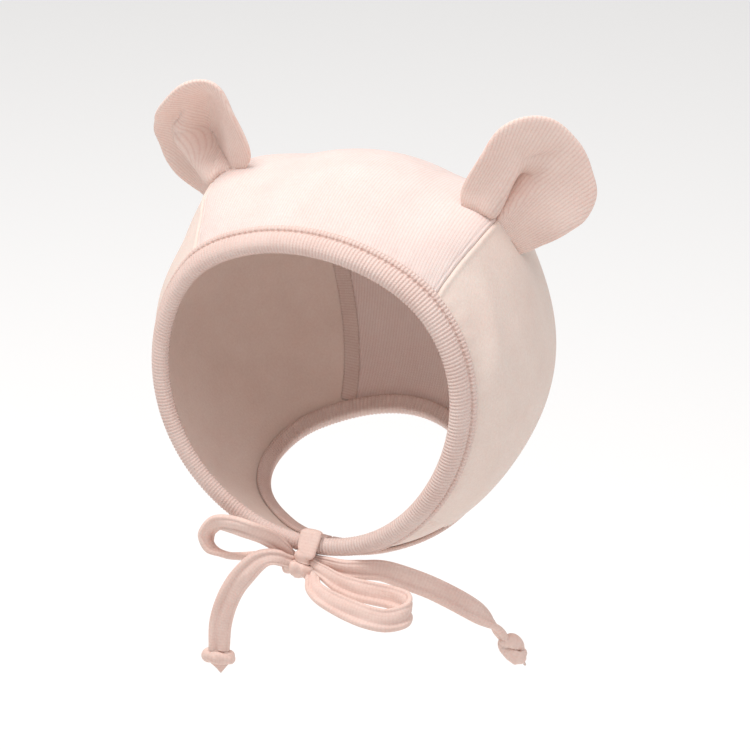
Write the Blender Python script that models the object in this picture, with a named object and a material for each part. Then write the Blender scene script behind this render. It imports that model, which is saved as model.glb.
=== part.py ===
"""A baby's tie-on bonnet in pale pink knit with two round ears, in its worn form.

The origin is inside the crown top, +Z is up, the face opening looks toward -Y and the wearer's left is +X.
Sizes in the tables are millimetres and degrees.
"""

import bmesh
import bpy
import numpy as np

MM = 0.001
HEAD_RADIUS = 68.0  # inside of the cloth, a head of 427 mm round
CLOTH = 1.8  # the knit body, lining and outer together
GAP = 0.3  # left between neighbouring pieces
SHELL = HEAD_RADIUS + CLOTH
CENTRE = np.array((0.0, 0.0, -HEAD_RADIUS))

# turn runs over the crown from the face (0) past the top (90) to the nape (200 and more)
SEAM_LIFT = 7.6  # how far the ears' roots pull the seam off the head
SEAM = (  # turn, latitude of the seam, share of the lift
    (-60, 38.0, 0.00),
    (40, 38.0, 0.16),
    (50, 38.6, 0.18),
    (62, 40.2, 0.32),
    (76, 41.6, 0.82),
    (90, 42.0, 1.00),
    (104, 41.2, 0.92),
    (125, 38.0, 0.53),
    (150, 33.5, 0.18),
    (180, 28.5, 0.04),
    (235, 20.0, 0.00),
)
CROWN_REACH = 22.0  # degrees over which the lift fades toward the crown
SIDE_REACH = 34.0  # and toward the cheek
SOFT_RISE = 1.1  # where the cloth leaves the head or draws tight
SOFT = (  # ring angle, its span, polar angle, its span, share of the rise
    (180, 48, 58, 18, 1.00),
    (78, 42, 69, 4.5, 1.00),
    (-78, 42, 69, 4.5, 0.70),
    (122, 28, 96, 24, -2.10),
    (-122, 28, 96, 24, -0.90),
)
# polar angle of the face edge: mean, then cosines of 1, 2 and 3 ring angles
FACE_EDGE = (50.3, 1.25, 0.3, -1.6)
NECK_EDGE = (  # heading from the front, polar angle from straight down
    (0, 17.5),
    (45, 20.5),
    (80, 28.0),
    (110, 34.5),
    (140, 41.0),
    (180, 46.0),
)
SEAM_RING = 46.0  # ring angle where the seam meets the face edge
CHIN_RING = 179.2  # where the face binding stops behind the knot
CHIN_HEADING = 1.4  # and the neck binding

FACE_BAND = 9.3  # face binding, fold to seam ridge
NECK_BAND = 7.2
BAND_WALL = 1.2  # one layer of rib
BAND_CLEAR = 0.5  # between each layer and the panel inside the fold
EDGE_CLEAR = 0.4  # between a panel's edge and the fold
# sections: share of the band from the fold, share of the wall over the layer's inner face
FACE_OUTSIDE = (
    (1.0, 0.0),
    (1.0, 0.5),
    (0.93, 0.85),
    (0.83, 0.85),
    (0.74, 0.3),
    (0.66, 1.05),
    (0.43, 1.42),
    (0.18, 1.0),
)
NECK_OUTSIDE = ((1.0, 0.0), (1.0, 0.6), (0.78, 1.0), (0.55, 1.1), (0.3, 1.05))
INSIDE = ((0.18, 0.8), (0.45, 0.85), (0.9, 0.85), (0.9, 0.0))
FOLD = ((0.045, 0.5), (0.0, 0.0), (0.045, -0.5))  # share of the band, share of the cloth and both walls
HOLLOW = 2.5  # depth of the fold's inside

EAR_LATITUDE = 42.5  # of the middle of each ear's base
EAR_DEPTH = 2.0  # base middle in front of the crown top
EAR_BACK = 17.0
EAR_WALL = 3.6
EAR_REACH = 24.0  # middle of an ear to its rim
EAR_MIDDLE = (0.06, 0.83)  # across, up from the base, as shares of the reach
EAR_OUTLINE = (  # angle from straight up, positive outward, share of the reach
    (-142, 1.01),
    (-102, 0.97),
    (-75, 1.02),
    (-39, 0.98),
    (0, 0.85),
    (31, 0.82),
    (61, 0.89),
    (82, 0.88),
    (102, 0.84),
    (122, 0.88),
    (146, 1.00),
)
# name, side, lean outward, turn outward, then as shares of the reach: the radius of the curl across,
# the start and the radius of the curl up, and the depth of the pleat
EARS = (
    ("ear_left", 1, 35.0, 20.0, 2.9, 0.67, 3.75, 0.19),
    ("ear_right", -1, 11.5, 18.0, 2.1, 0.42, 0.82, 0.16),
)

# top of the face binding at the chin, over the plain round
CHIN_LIFT = SOFT_RISE + BAND_CLEAR + 1.42 * BAND_WALL
KNOT_SEAT = 4.9  # the bow knot's middle over the binding
KNOT_POLAR = 54.0
KNOT_AXIS = np.array((0.0, -np.cos(np.radians(KNOT_POLAR)), -np.sin(np.radians(KNOT_POLAR))))
KNOT = CENTRE + KNOT_AXIS * (SHELL + CHIN_LIFT + KNOT_SEAT)
TIE_WIDTH = 8.0
TIE_THICK = 2.4
TIE_CORNERS = (  # section, shares of width and thickness
    (0.5, -0.2),
    (0.5, 0.2),
    (0.38, 0.5),
    (-0.38, 0.5),
    (-0.5, 0.2),
    (-0.5, -0.2),
    (-0.38, -0.5),
    (0.38, -0.5),
)
# place from the knot (across, back, up), direction of the strip's width, share of the tie's width
TAIL_RIGHT = (
    (-4.4, -5.1, 4.0, 0.05, -0.64, -0.77, 0.56),
    (-6.1, -7.3, 5.7, 0.05, -0.51, -0.86, 0.66),
    (-9.1, -9.3, 6.2, 0.35, -0.30, -0.89, 0.74),
    (-12.7, -10.5, 4.2, 0.68, -0.12, -0.72, 0.90),
    (-16.8, -11.7, -0.6, 0.80, 0.01, -0.60, 1.00),
    (-20.9, -12.1, -6.8, 0.87, 0.12, -0.48, 1.00),
    (-24.0, -12.7, -14.0, 0.91, 0.25, -0.32, 1.00),
    (-26.0, -13.2, -22.0, 0.93, 0.34, -0.16, 1.00),
    (-26.5, -13.6, -30.7, 0.91, 0.41, -0.07, 0.94),
)
LOOP_RIGHT = (
    (-5.0, -0.3, 3.2, -0.10, 0.22, 0.97, 0.56),
    (-7.8, -2.9, 8.0, 0.18, 0.01, 0.98, 0.69),
    (-11.0, -6.6, 12.6, 0.32, -0.04, 0.95, 0.88),
    (-16.0, -9.6, 15.5, 0.39, -0.11, 0.91, 0.94),
    (-23.0, -9.2, 15.9, 0.41, -0.24, 0.88, 0.90),
    (-29.6, -7.6, 14.0, 0.13, -0.51, 0.85, 0.92),
    (-33.3, -7.0, 9.2, -0.16, -0.78, 0.61, 1.00),
    (-32.6, -6.6, 4.1, 0.00, -0.92, 0.39, 1.00),
    (-28.5, -4.6, 0.8, 0.26, -0.82, 0.51, 1.00),
    (-23.5, -1.4, -0.6, 0.42, -0.69, 0.59, 1.00),
    (-17.8, 1.2, -0.6, 0.36, -0.59, 0.73, 0.94),
    (-11.8, 2.6, -0.6, 0.11, -0.25, 0.96, 0.75),
    (-7.8, 3.2, -1.2, -0.06, 0.13, 0.99, 0.62),
    (-5.0, 3.4, -1.8, -0.17, 0.39, 0.91, 0.56),
)
TAIL_LEFT = (
    (4.6, 1.7, 1.9, -0.10, 0.22, 0.97, 0.56),
    (9.1, 0.8, 2.2, -0.06, 0.13, 0.99, 0.69),
    (15.5, 0.1, 2.3, -0.06, 0.13, 0.99, 0.81),
    (21.5, 2.5, 2.0, -0.06, 0.13, 0.99, 0.88),
    (27.2, 5.8, 1.2, -0.17, 0.13, 0.98, 0.94),
    (34.3, 9.7, -2.1, -0.31, 0.11, 0.94, 1.00),
    (43.1, 13.8, -6.5, -0.49, 0.10, 0.87, 1.00),
    (54.0, 17.8, -13.0, -0.61, 0.13, 0.78, 1.00),
    (61.7, 20.5, -19.0, -0.79, 0.20, 0.58, 0.94),
    (65.3, 21.9, -24.1, -0.88, 0.20, 0.43, 0.81),
)
LOOP_LEFT = (
    (5.9, -2.1, 1.6, 0.31, 0.45, 0.83, 0.56),
    (9.6, -3.1, 0.7, 0.33, 0.49, 0.81, 0.68),
    (15.3, -4.7, -0.7, 0.24, 0.51, 0.82, 0.84),
    (21.8, -5.1, -1.6, 0.09, 0.49, 0.87, 0.96),
    (28.2, -4.7, -2.0, 0.02, 0.47, 0.88, 1.00),
    (34.4, -4.0, -2.4, 0.06, 0.46, 0.89, 1.00),
    (40.0, -5.2, -2.5, 0.23, 0.31, 0.92, 1.00),
    (43.3, -8.9, -3.0, 0.01, -0.11, 0.99, 1.00),
    (42.5, -13.3, -3.5, -0.36, 0.13, 0.92, 1.00),
    (38.2, -16.8, -3.9, -0.17, 0.39, 0.91, 1.00),
    (32.1, -17.7, -3.6, 0.05, 0.48, 0.87, 1.00),
    (25.1, -16.6, -3.2, 0.16, 0.52, 0.84, 0.98),
    (18.0, -14.3, -3.0, 0.22, 0.53, 0.82, 0.92),
    (12.1, -11.6, -2.9, 0.37, 0.59, 0.72, 0.84),
    (8.0, -8.9, -2.2, 0.69, 0.59, 0.42, 0.74),
    (5.9, -5.6, -1.0, 0.86, 0.50, 0.14, 0.62),
)
# degrees from the face edge; shares of the cloth and wall under the binding, of the lift over it and
# of the knot's seat; then half width and half thickness as shares of the tie's width and the seat
KNOT_COURSE = (
    (2.0, -1.0, 0.0, -0.27, 0.33, 0.15),
    (-0.7, -1.0, 0.0, -0.22, 0.45, 0.20),
    (-2.5, -0.30, 0.0, -0.20, 0.49, 0.24),
    (-2.3, 0.0, 0.8, 0.20, 0.49, 0.26),
    (-0.4, 0.0, 1.0, 0.63, 0.49, 0.37),
    (2.2, 0.0, 1.0, 0.98, 0.51, 0.59),
    (5.0, 0.0, 1.0, 1.04, 0.53, 0.65),
    (7.6, 0.0, 1.0, 0.92, 0.48, 0.57),
    (9.6, 0.0, 1.0, 0.78, 0.30, 0.33),
)
# name, tail, half width, half depth and half length as shares of the tie's width, lobes
END_KNOTS = (
    ("tail_knot_right", TAIL_RIGHT, (0.75, 0.45, 0.45), 3),
    ("tail_knot_left", TAIL_LEFT, (0.62, 0.50, 0.75), 2),
)

PINK = (0.84, 0.62, 0.55, 1.0)
RIB = (0.80, 0.57, 0.50, 1.0)


def smooth(x, table, column):
    """A curve without overshoot through one column of a table whose first column rises."""
    xs = np.array([row[0] for row in table], float)
    ys = np.array([row[column] for row in table], float)
    step = np.diff(xs)
    slope = np.diff(ys) / step
    lean = np.zeros(len(xs))
    both = slope[1:] * slope[:-1]
    total = np.where(both > 0, slope[1:] + slope[:-1], 1.0)
    lean[1:-1] = np.where(both > 0, 2 * both / total, 0.0)
    x = np.clip(x, xs[0], xs[-1])
    cell = np.clip(np.searchsorted(xs, x, side="right") - 1, 0, len(step) - 1)
    part = (x - xs[cell]) / step[cell]
    rest = 1 - part
    start = ys[cell] * (1 + 2 * part) * rest**2 + lean[cell] * step[cell] * part * rest**2
    end = ys[cell + 1] * (3 - 2 * part) * part**2 - lean[cell + 1] * step[cell] * rest * part**2
    return start + end


def unit(vectors):
    return vectors / np.linalg.norm(vectors, axis=-1, keepdims=True)


def blend(x):
    x = np.clip(x, 0.0, 1.0)
    return x * x * (3 - 2 * x)


def over_crown(latitude, turn):
    latitude, turn = np.radians(latitude), np.radians(turn)
    flat = np.cos(latitude)
    return np.stack((np.sin(latitude), -flat * np.cos(turn), flat * np.sin(turn)), axis=-1)


def from_face(polar, ring):
    polar, ring = np.radians(polar), np.radians(ring)
    flat = np.sin(polar)
    return np.stack((flat * np.sin(ring), -np.cos(polar), flat * np.cos(ring)), axis=-1)


def from_neck(polar, heading):
    polar, heading = np.radians(polar), np.radians(heading)
    flat = np.sin(polar)
    return np.stack((flat * np.sin(heading), -flat * np.cos(heading), -np.cos(polar)), axis=-1)


def face_angles(way):
    polar = np.degrees(np.arccos(np.clip(-way[..., 1], -1, 1)))
    return polar, np.degrees(np.arctan2(way[..., 0], way[..., 2]))


def neck_angles(way):
    polar = np.degrees(np.arccos(np.clip(-way[..., 2], -1, 1)))
    return polar, np.degrees(np.arctan2(way[..., 0], -way[..., 1]))


def crown_angles(way):
    latitude = np.degrees(np.arcsin(np.clip(way[..., 0], -1, 1)))
    turn = np.degrees(np.arctan2(way[..., 2], -way[..., 1]))
    return latitude, np.where(turn < -90, turn + 360, turn)


def face_edge(ring):
    mean, once, twice, thrice = FACE_EDGE
    ring = np.radians(ring)
    return mean + once * np.cos(ring) + twice * np.cos(2 * ring) + thrice * np.cos(3 * ring)


def neck_edge(heading):
    return smooth(np.abs(heading), NECK_EDGE, 1)


def shell(way):
    """Distance of the cloth's outside from the head's middle, along each unit direction."""
    latitude, turn = crown_angles(way)
    away = np.abs(latitude) - smooth(turn, SEAM, 1)
    crown = 0.5 + 0.5 * np.cos(np.pi * np.clip(-away / CROWN_REACH, 0, 1))
    side = np.clip(1 - away / SIDE_REACH, 0, 1) ** 2
    radius = SHELL + SEAM_LIFT * smooth(turn, SEAM, 2) * np.where(away < 0, crown, side)
    polar, ring = face_angles(way)
    for middle, span, height, reach, rise in SOFT:
        off = (ring - middle + 180) % 360 - 180
        radius = radius + SOFT_RISE * rise * np.exp(-((off / span) ** 2) - ((polar - height) / reach) ** 2)
    return radius


def on_shell(way, height):
    return CENTRE + way * (shell(way) + height)[..., None]


def add_object(name, points, faces, colour):
    mesh = bpy.data.meshes.new(name)
    mesh.from_pydata([tuple(point * MM) for point in points], [], faces)
    body = bmesh.new()
    body.from_mesh(mesh)
    bmesh.ops.recalc_face_normals(body, faces=body.faces)
    body.to_mesh(mesh)
    body.free()
    for face in mesh.polygons:
        face.use_smooth = True
    material = bpy.data.materials.new(name)
    material.use_nodes = True
    shader = material.node_tree.nodes["Principled BSDF"]
    shader.inputs["Base Color"].default_value = colour
    shader.inputs["Roughness"].default_value = 0.9
    mesh.materials.append(material)
    bpy.context.collection.objects.link(bpy.data.objects.new(name, mesh))


def add_sheet(name, outer, inner, colour):
    """A closed wall between two grids of points."""
    rows, columns = outer.shape[:2]
    index = np.arange(rows * columns).reshape(rows, columns)
    far = index + rows * columns
    faces = []
    for i in range(rows - 1):
        for j in range(columns - 1):
            near = (index[i, j], index[i + 1, j], index[i + 1, j + 1], index[i, j + 1])
            faces.append(near)
            faces.append(tuple(corner + rows * columns for corner in reversed(near)))
    rim = [*index[0, :-1], *index[:-1, -1], *index[-1, :0:-1], *index[:0:-1, 0]]
    for here, there in zip(rim, rim[1:] + rim[:1]):
        faces.append((here, there, there + rows * columns, here + rows * columns))
    points = np.concatenate((outer.reshape(-1, 3), inner.reshape(-1, 3)))
    add_object(name, points, [tuple(int(v) for v in face) for face in faces], colour)


def add_sweep(name, rings, colour):
    """A closed body through rings of points, with an end cap on each side."""
    count, around = rings.shape[:2]
    faces = [tuple(range(around))[::-1], tuple(range((count - 1) * around, count * around))]
    for i in range(count - 1):
        for j in range(around):
            k = (j + 1) % around
            faces.append((i * around + j, i * around + k, (i + 1) * around + k, (i + 1) * around + j))
    add_object(name, rings.reshape(-1, 3), faces, colour)


def meeting(share, low, high, edge):
    """The turn at which a line at this share of the seam's latitude meets an edge, by halving."""
    low = np.full(share.shape, float(low))
    high = np.full(share.shape, float(high))
    for _ in range(40):
        turn = (low + high) / 2
        before = edge(over_crown(share * smooth(turn, SEAM, 1), turn))
        low = np.where(before, turn, low)
        high = np.where(before, high, turn)
    return (low + high) / 2


def inside_face_edge(way):
    polar, ring = face_angles(way)
    return polar < face_edge(ring) + np.degrees((HOLLOW + EDGE_CLEAR) / SHELL)


def above_neck_edge(way):
    polar, heading = neck_angles(way)
    return polar > neck_edge(heading) + np.degrees((HOLLOW + EDGE_CLEAR) / SHELL)


def seam_line(steps, side_gap):
    """Directions down the seam, from the face edge to the neck edge, a half gap to one side of it."""
    one = np.ones(1)
    start = meeting(one, 30, 80, inside_face_edge)[0]
    end = meeting(one, 190, 260, above_neck_edge)[0]
    turn = np.linspace(start, end, steps + 1)
    return over_crown(smooth(turn, SEAM, 1) + np.degrees(side_gap / SHELL), turn)


def to_side_map(way):
    """A flat map of the left side, in degrees from its +X point."""
    latitude, turn = crown_angles(way)
    turn = np.radians(turn)
    return (90 - latitude)[..., None] * np.stack((np.cos(turn), np.sin(turn)), axis=-1)


def from_side_map(flat):
    turn = np.degrees(np.arctan2(flat[..., 1], flat[..., 0]))
    return over_crown(90 - np.hypot(flat[..., 0], flat[..., 1]), turn)


def centre_panel(across, along):
    share = np.linspace(-1, 1, across + 1)
    start = meeting(share, 30, 80, inside_face_edge)
    end = meeting(share, 190, 260, above_neck_edge)
    part = np.linspace(0, 1, along + 1)[:, None]
    turn = start + (end - start) * part
    latitude = smooth(turn, SEAM, 1) - np.degrees(GAP / 2 / SHELL)
    way = over_crown(share * latitude, turn)
    add_sheet("centre_panel", on_shell(way, 0.0), on_shell(way, -CLOTH), PINK)


def side_panel(name, side, across, along):
    """Four edges blended: face edge to neck edge, chin to seam."""
    seam = seam_line(along, GAP / 2)
    seam_ring = face_angles(seam[0])[1]
    seam_heading = neck_angles(seam[-1])[1]
    t = np.linspace(0, 1, across + 1)
    s = np.linspace(0, 1, along + 1)
    inset = np.degrees((HOLLOW + EDGE_CLEAR) / SHELL)
    ring = CHIN_RING + (seam_ring - CHIN_RING) * t
    heading = CHIN_HEADING + (seam_heading - CHIN_HEADING) * t
    face = from_face(face_edge(ring) + inset, ring)
    neck = from_neck(neck_edge(heading) + inset, heading)
    chin = unit(face[0] + (neck[0] - face[0]) * s[:, None])
    face[-1], neck[-1] = seam[0], seam[-1]
    face, neck, chin, seam = (to_side_map(edge) for edge in (face, neck, chin, seam))
    s, t = s[:, None, None], t[None, :, None]
    flat = (1 - s) * face + s * neck + (1 - t) * chin[:, None] + t * seam[:, None]
    flat = flat - (1 - s) * ((1 - t) * face[0] + t * face[-1]) - s * ((1 - t) * neck[0] + t * neck[-1])
    way = from_side_map(flat)
    way[..., 0] *= side
    add_sheet(name, on_shell(way, 0.0), on_shell(way, -CLOTH), PINK)


def folded_section(band, outside):
    """Distance from the fold and height over the cloth, round a strip folded over a panel's edge."""
    top, bottom, middle = BAND_CLEAR, -CLOTH - BAND_CLEAR, -CLOTH / 2
    stack = CLOTH + 2 * BAND_CLEAR + 2 * BAND_WALL
    rows = [(band * along, top + BAND_WALL * over) for along, over in outside]
    rows += [(band * along, middle + stack / 2 * over) for along, over in FOLD]
    rows += [(band * along, bottom - BAND_WALL * under) for along, under in INSIDE]
    return rows + [(HOLLOW, bottom), (0.8 * HOLLOW, middle), (HOLLOW, top)]


def add_binding(name, ways, section):
    """One ring of the section at each place along the edge."""
    rings = [on_shell(ways(distance), np.full(1, height)) for distance, height in section]
    add_sweep(name, np.stack(rings, axis=1), RIB)


def face_binding():
    ring = np.concatenate(
        (
            np.linspace(-CHIN_RING, -SEAM_RING, 21),
            np.linspace(-SEAM_RING, SEAM_RING, 17)[1:],
            np.linspace(SEAM_RING, CHIN_RING, 21)[1:],
        )
    )

    def ways(distance):
        return from_face(face_edge(ring) + np.degrees(distance / SHELL), ring)

    add_binding("face_binding", ways, folded_section(FACE_BAND, FACE_OUTSIDE))


def neck_binding():
    heading = np.linspace(CHIN_HEADING, 360 - CHIN_HEADING, 37)
    heading = np.where(heading > 180, heading - 360, heading)

    def ways(distance):
        return from_neck(neck_edge(heading) + np.degrees(distance / SHELL), heading)

    add_binding("neck_binding", ways, folded_section(NECK_BAND, NECK_OUTSIDE))


def ear_axes(side, lean, turn):
    latitude, lean, back, turn = np.radians((EAR_LATITUDE, lean, EAR_BACK, turn))
    middle = np.array((side * np.sin(latitude), 0.0, np.cos(latitude)))
    outward = np.array((side * np.cos(latitude), 0.0, -np.sin(latitude)))
    up = np.array((side * np.sin(lean) * np.cos(back), np.sin(back), np.cos(lean) * np.cos(back)))
    front = unit(np.cross(outward, up)) * side
    cosine, sine = np.cos(turn), np.sin(turn)
    outward, front = outward * cosine - front * sine, front * cosine + outward * sine
    root = middle * shell(middle) + np.array((0.0, -EAR_DEPTH, 0.0))
    return root, outward, up, front


def ear_sheet(row, across, up):
    """The middle layer of an ear, for places across and up its flat pattern, as shares of its reach."""
    _, side, lean, turn, curl_across, curl_start, curl_up, pleat = row
    root, outward, upward, front = ear_axes(side, lean, turn)
    free = blend(up / 0.67)
    turned = across / curl_across
    wide = across * (1 - free) + curl_across * np.sin(turned) * free
    forward = curl_across * (1 - np.cos(turned)) * free
    forward = forward - 0.1 * (across / 0.65) ** 2 * (1 - free)
    bent = np.clip(up - curl_start, 0, None) / curl_up
    high = np.minimum(up, curl_start) + curl_up * np.sin(bent)
    forward = forward + curl_up * (1 - np.cos(bent))
    hollow = np.exp(-(((across - 0.02) / (0.125 + up / 6)) ** 2) - ((up - 0.58) / 0.38) ** 2)
    forward = forward - pleat * hollow
    flat = root + EAR_REACH * (wide[..., None] * outward + forward[..., None] * front)
    sink = np.linalg.norm(flat, axis=-1) - shell(unit(flat)) - 1.5 * GAP
    flat = flat - unit(flat) * (sink * (1 - blend(up / 0.83)))[..., None]
    return flat + EAR_REACH * high[..., None] * upward


def ear_layers(row, across, up, half_wall):
    step = 0.01
    here = ear_sheet(row, across, up)
    right = ear_sheet(row, across + step, up) - here
    above = ear_sheet(row, across, up + step) - here
    normal = unit(np.cross(right, above)) * row[1]
    layers = []
    for sign in (1, -1):
        place = here + normal * (sign * half_wall)[..., None]
        under = np.linalg.norm(place, axis=-1) - shell(unit(place)) - 1.5 * GAP
        seat = np.where(up < 0.04, under, np.minimum(under, 0.0))
        layers.append(place - unit(place) * seat[..., None] + CENTRE)
    return layers


def ear(row, spokes, rings):
    angle = np.linspace(EAR_OUTLINE[0][0], EAR_OUTLINE[-1][0], spokes - 7)
    reach = smooth(angle, EAR_OUTLINE, 1)
    middle = np.array(EAR_MIDDLE)
    edge = middle + reach[:, None] * np.stack((np.sin(np.radians(angle)), np.cos(np.radians(angle))), 1)
    edge[0, 1] = edge[-1, 1] = 0.0
    base = np.linspace(edge[-1], edge[0], 9)[1:-1]
    edge = np.concatenate((edge, base))
    part = np.linspace(0, 1, rings + 1)[1:, None, None]
    flat = middle + part * (edge - middle)
    half_wall = EAR_WALL / 2 * (1 - 0.72 * np.broadcast_to(part[..., 0], flat.shape[:2]) ** 4)
    front, back = ear_layers(row, flat[..., 0], flat[..., 1], half_wall)
    hub = ear_layers(row, middle[:1], middle[1:], np.array([EAR_WALL / 2]))
    count = front.shape[0] * front.shape[1]
    around = front.shape[1]
    points = np.concatenate((front.reshape(-1, 3), back.reshape(-1, 3), hub[0], hub[1]))
    faces = []
    for layer in (0, 1):
        for j in range(around):
            k = (j + 1) % around
            faces.append((2 * count + layer, layer * count + j, layer * count + k))
            for i in range(rings - 1):
                at = layer * count + i * around
                faces.append((at + j, at + around + j, at + around + k, at + k))
    last = (rings - 1) * around
    for j in range(around):
        k = (j + 1) % around
        faces.append((last + j, count + last + j, count + last + k, last + k))
    add_object(row[0], points, faces, PINK)


def course(rows, steps):
    """A smooth line of every column through the rows of a table."""
    rows = np.array(rows, float)
    padded = np.concatenate(([2 * rows[0] - rows[1]], rows, [2 * rows[-1] - rows[-2]]))
    at = np.linspace(0, len(rows) - 1, steps + 1)
    cell = np.clip(at.astype(int), 0, len(rows) - 2)
    u = (at - cell)[:, None]
    a, b, c, d = (padded[cell + k] for k in range(4))
    return 0.5 * (2 * b + (c - a) * u + (2 * a - 5 * b + 4 * c - d) * u**2 + (3 * b - a - 3 * c + d) * u**3)


def strip(name, rows, steps):
    """A flat folded tie along its course."""
    line = course(rows, steps)
    place = line[:, :3] + KNOT
    ahead = unit(np.gradient(place, axis=0))
    wide = line[:, 3:6] - ahead * (line[:, 3:6] * ahead).sum(axis=1, keepdims=True)
    wide = unit(wide)
    thick = np.cross(ahead, wide)
    width = line[:, 6:7] * TIE_WIDTH
    rings = [place + wide * width * across + thick * TIE_THICK * through for across, through in TIE_CORNERS]
    add_sweep(name, np.stack(rings, axis=1), PINK)


def bow_knot(around=12):
    """A strap that wraps the chin ends of the face binding and swells into the knot."""
    line = course(KNOT_COURSE, 18)
    edge = face_edge(180.0)
    polar = np.radians(edge + line[:, 0])
    under, over = CLOTH + BAND_CLEAR + BAND_WALL, CHIN_LIFT - SOFT_RISE
    reach = SHELL + SOFT_RISE + line[:, 1] * under + line[:, 2] * over + line[:, 3] * KNOT_SEAT
    place = CENTRE + np.stack((0 * polar, -reach * np.cos(polar), -reach * np.sin(polar)), axis=1)
    ahead = unit(np.gradient(place, axis=0))
    across = np.array((1.0, 0.0, 0.0))
    outward = np.cross(ahead, across)
    angle = np.linspace(0, 2 * np.pi, around, endpoint=False) + np.pi / around
    wide = np.sign(np.cos(angle)) * np.abs(np.cos(angle)) ** 0.75 * TIE_WIDTH
    deep = np.sign(np.sin(angle)) * np.abs(np.sin(angle)) ** 0.75 * KNOT_SEAT
    rings = [place + across * line[:, 4:5] * w + outward * line[:, 5:6] * d for w, d in zip(wide, deep)]
    add_sweep("bow_knot", np.stack(rings, axis=1), PINK)


def end_knot(row, around=14, levels=8):
    """A small lump with lobes where a tail is knotted, flared below."""
    name, tail, shares, lobes = row
    wide, deep, long = (share * TIE_WIDTH for share in shares)
    tail = np.array(tail)
    end = tail[-1, :3]
    along = unit(end - tail[-2, :3])
    middle = KNOT + end + along * (long + 1.5 * GAP)
    across = unit(tail[-1, 3:6] - along * (tail[-1, 3:6] @ along))
    through = np.cross(along, across)
    rings = []
    for polar in np.linspace(0, np.pi, levels + 2)[1:-1]:
        turn = np.linspace(0, 2 * np.pi, around, endpoint=False)
        swell = 1 + 0.10 * np.cos(lobes * turn + 2 * polar)
        spread = (np.sin(polar) ** 0.7 * swell * (1 - 0.12 * np.cos(polar)))[:, None]
        side = across * wide * np.cos(turn)[:, None] + through * deep * np.sin(turn)[:, None]
        rings.append(middle + spread * side - along * long * np.cos(polar))
    add_sweep(name, np.stack(rings), PINK)


for old in list(bpy.data.objects):
    bpy.data.objects.remove(old, do_unlink=True)

centre_panel(12, 26)
side_panel("side_panel_left", 1, 14, 26)
side_panel("side_panel_right", -1, 14, 26)
face_binding()
neck_binding()
for ear_row in EARS:
    ear(ear_row, 36, 5)
bow_knot()
strip("loop_left", LOOP_LEFT, 28)
strip("loop_right", LOOP_RIGHT, 28)
strip("tail_left", TAIL_LEFT, 16)
strip("tail_right", TAIL_RIGHT, 16)
for knot_row in END_KNOTS:
    end_knot(knot_row)
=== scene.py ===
"""A baby's tie-on bonnet in pale pink cotton knit with two round ears, dressed over its solids.

Tables are in millimetres and degrees, and every point becomes metres only where a mesh is made.
The face opening looks toward -Y, the wearer's left is +X, and the origin is inside the crown's top.
"""

import bmesh
import bpy
import numpy as np
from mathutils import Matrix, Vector


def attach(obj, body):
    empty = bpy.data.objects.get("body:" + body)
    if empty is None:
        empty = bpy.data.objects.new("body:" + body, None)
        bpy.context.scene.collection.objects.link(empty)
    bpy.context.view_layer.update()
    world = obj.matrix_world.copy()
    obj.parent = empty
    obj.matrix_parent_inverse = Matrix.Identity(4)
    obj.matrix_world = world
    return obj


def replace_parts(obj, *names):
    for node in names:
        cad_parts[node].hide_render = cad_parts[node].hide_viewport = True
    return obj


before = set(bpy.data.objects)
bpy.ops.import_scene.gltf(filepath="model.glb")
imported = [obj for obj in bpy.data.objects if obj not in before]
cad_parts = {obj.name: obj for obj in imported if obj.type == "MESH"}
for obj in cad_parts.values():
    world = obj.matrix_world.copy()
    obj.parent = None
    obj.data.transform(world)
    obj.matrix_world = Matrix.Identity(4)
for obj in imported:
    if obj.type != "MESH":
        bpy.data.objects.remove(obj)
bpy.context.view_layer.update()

MM = 0.001
HEAD_RADIUS = 68.0  # inside of the cloth, a head of 427 mm round
CLOTH = 1.8  # the knit body, lining and outer together
GAP = 0.3  # between neighbouring pieces
SHELL = HEAD_RADIUS + CLOTH
CENTRE = np.array((0.0, 0.0, -HEAD_RADIUS))

# turn runs over the crown from the face (0) past the top (90) to the nape (200 and more)
SEAM_LIFT = 7.6  # how far the ears' roots pull the seam off the head
SEAM = (  # turn, latitude of the seam, share of the lift
    (-60, 38.0, 0.00),
    (40, 38.0, 0.16),
    (50, 38.6, 0.18),
    (62, 40.2, 0.32),
    (76, 41.6, 0.82),
    (90, 42.0, 1.00),
    (104, 41.2, 0.92),
    (125, 38.0, 0.53),
    (150, 33.5, 0.18),
    (180, 28.5, 0.04),
    (235, 20.0, 0.00),
)
CROWN_REACH = 22.0  # degrees over which the lift fades toward the crown
SIDE_REACH = 34.0  # and toward the cheek
SOFT_RISE = 1.1  # where the cloth leaves the head or draws tight
SOFT = (  # ring angle, its span, polar angle, its span, share of the rise
    (180, 48, 58, 18, 1.00),
    (78, 42, 69, 4.5, 1.00),
    (-78, 42, 69, 4.5, 0.70),
    (122, 28, 96, 24, -2.10),
    (-122, 28, 96, 24, -0.90),
)
# polar angle of the face edge: mean, then cosines of 1, 2 and 3 ring angles
FACE_EDGE = (50.3, 1.25, 0.3, -1.6)
NECK_EDGE = (  # heading from the front, polar angle from straight down
    (0, 17.5),
    (45, 20.5),
    (80, 28.0),
    (110, 34.5),
    (140, 41.0),
    (180, 46.0),
)
FACE_TURNS = (30, 80)  # the seam meets the face edge between these turns
NAPE_TURNS = (190, 260)  # and the neck edge between these
CHIN_RING = 179.2  # where the face binding stops behind the knot
CHIN_HEADING = 1.4  # and the neck binding

FACE_BAND = 9.3  # face binding, fold to seam ridge
NECK_BAND = 7.2
BAND_WALL = 1.2  # one layer of rib
BAND_CLEAR = 0.5  # between each layer and the panel inside the fold
EDGE_CLEAR = 0.4  # between a panel's edge and the fold
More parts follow.
